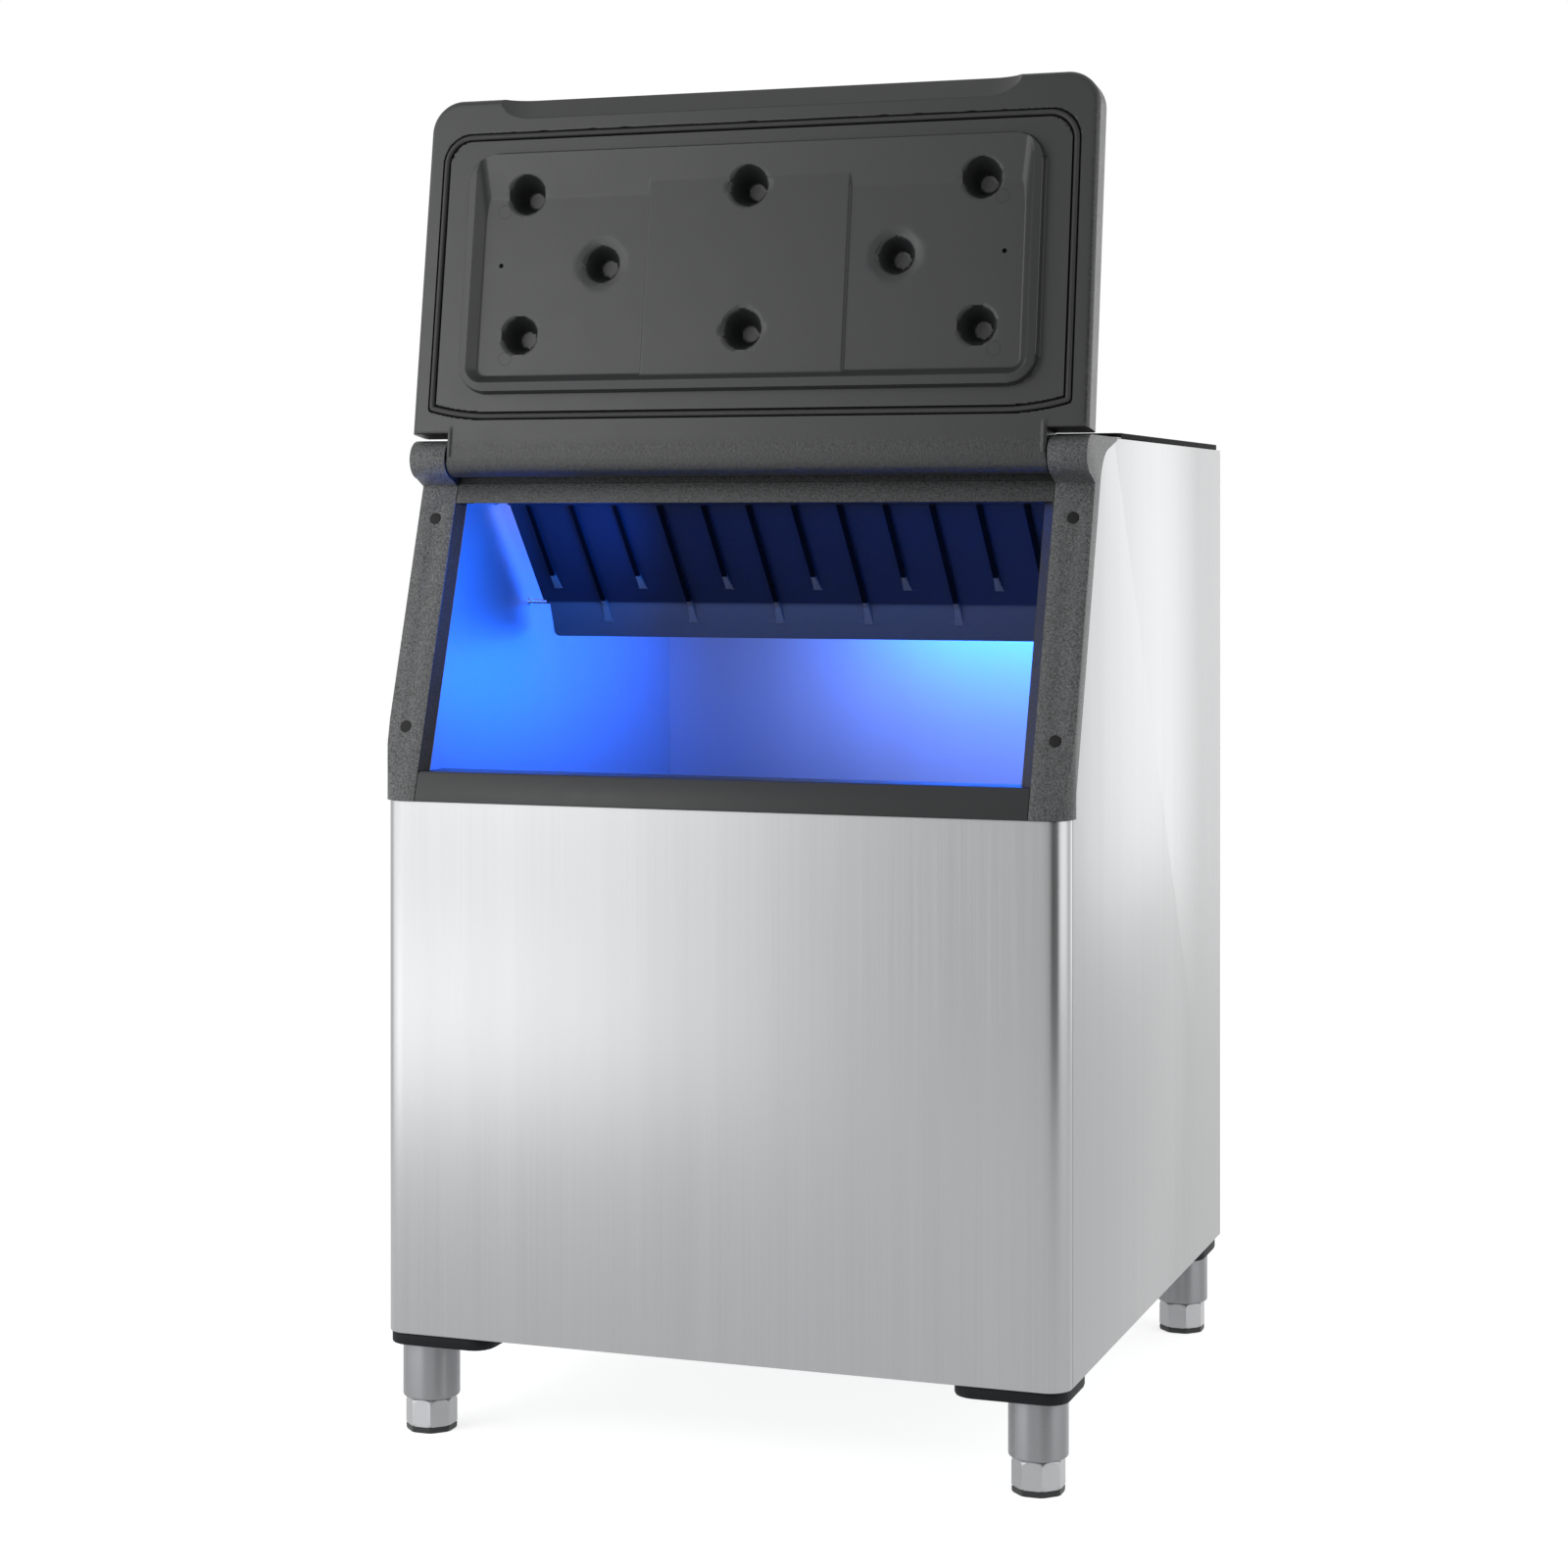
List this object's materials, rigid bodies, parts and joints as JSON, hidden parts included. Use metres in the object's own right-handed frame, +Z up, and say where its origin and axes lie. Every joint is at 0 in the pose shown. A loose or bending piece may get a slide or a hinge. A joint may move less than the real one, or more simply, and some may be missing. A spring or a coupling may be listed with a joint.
{
  "type": "ice storage bin",
  "caption": "Insulated ice storage bin with a slanted mouth, a hinged lid that swings right back, a hanging baffle and screw feet on short legs.",
  "frame": {"origin": "on the floor under the middle of the part's width and depth, feet screwed in, lid open", "axes": "+X to the right seen from the front, +Y from the front to the back, +Z up"},
  "size_m": [0.769, 0.7718, 1.4606],
  "materials": {
    "brushed_steel": "vertical brushed, satin",
    "liner_steel": "cold rolled, semi-bright",
    "galvanised_steel": "galvanised, dull",
    "grained_plastic": "moulded, leather grain",
    "lid_plastic": "blow moulded, satin",
    "smooth_plastic": "moulded, smooth satin",
    "baffle_plastic": "moulded, semi-gloss",
    "rigid_foam": "poured foam, matt",
    "black_rubber": "extruded, dull",
    "sole_plastic": "moulded, dull",
    "turned_steel": "turned, bright",
    "white_plastic": "moulded, smooth",
    "anodised_channel": "anodised, satin",
    "light_lens": "diffusing, lit blue"
  },
  "bodies": {
    "cabinet": {"front_panel": "brushed_steel", "side_panel_left": "brushed_steel", "side_panel_right": "brushed_steel", "header_cover": "brushed_steel", "leg_tube_front_left": "brushed_steel", "leg_tube_front_right": "brushed_steel", "leg_tube_back_left": "brushed_steel", "leg_tube_back_right": "brushed_steel", "liner_left": "liner_steel", "liner_right": "liner_steel", "liner_back": "liner_steel", "liner_front": "liner_steel", "liner_floor": "liner_steel", "header_tray": "liner_steel", "back_panel": "galvanised_steel", "base_pan": "galvanised_steel", "cheek_left": "grained_plastic", "cheek_right": "grained_plastic", "top_bar": "grained_plastic", "sill": "smooth_plastic", "top_rim": "smooth_plastic", "screw_cap_left_upper": "smooth_plastic", "screw_cap_left_lower": "smooth_plastic", "screw_cap_right_upper": "smooth_plastic", "screw_cap_right_lower": "smooth_plastic", "leg_plate_front_left": "smooth_plastic", "leg_plate_front_right": "smooth_plastic", "leg_plate_back_left": "smooth_plastic", "leg_plate_back_right": "smooth_plastic", "foam_left": "rigid_foam", "foam_right": "rigid_foam", "foam_front": "rigid_foam", "foam_back": "rigid_foam", "foam_floor": "rigid_foam", "foam_header": "rigid_foam", "hinge_pin_left": "turned_steel", "hinge_pin_right": "turned_steel", "baffle_pin_left": "turned_steel", "baffle_pin_right": "turned_steel", "baffle_rest_left": "turned_steel", "baffle_rest_right": "turned_steel", "drain_fitting": "white_plastic", "drain_strainer": "white_plastic", "drain_nut": "white_plastic", "led_channel": "anodised_channel", "led_lens": "light_lens"},
    "lid": {"lid_shell": "lid_plastic", "lid_core": "rigid_foam", "lid_seal": "black_rubber"},
    "baffle": {"baffle": "baffle_plastic"},
    "foot_front_left": {"foot_front_left": "turned_steel", "sole_front_left": "sole_plastic"},
    "foot_front_right": {"foot_front_right": "turned_steel", "sole_front_right": "sole_plastic"},
    "foot_back_left": {"foot_back_left": "turned_steel", "sole_back_left": "sole_plastic"},
    "foot_back_right": {"foot_back_right": "turned_steel", "sole_back_right": "sole_plastic"}
  },
  "joints": [
    {"name": "lid_hinge", "type": "hinge", "parent": "cabinet", "child": "lid", "pos_m": [0, -0.28893, 1.0575], "axis": [1, 0, 0], "range_deg": [0, 170.26]},
    {"name": "baffle_hinge", "type": "hinge", "parent": "cabinet", "child": "baffle", "pos_m": [0, -0.19756, 1.013], "axis": [1, 0, 0], "range_deg": [0, 45]},
    {"name": "foot_screw_front_left", "type": "slide", "parent": "cabinet", "child": "foot_front_left", "axis": [0, 0, -1], "range_m": [0, 0.025]},
    {"name": "foot_screw_front_right", "type": "slide", "parent": "cabinet", "child": "foot_front_right", "axis": [0, 0, -1], "range_m": [0, 0.025]},
    {"name": "foot_screw_back_left", "type": "slide", "parent": "cabinet", "child": "foot_back_left", "axis": [0, 0, -1], "range_m": [0, 0.025]},
    {"name": "foot_screw_back_right", "type": "slide", "parent": "cabinet", "child": "foot_back_right", "axis": [0, 0, -1], "range_m": [0, 0.025]}
  ]
}
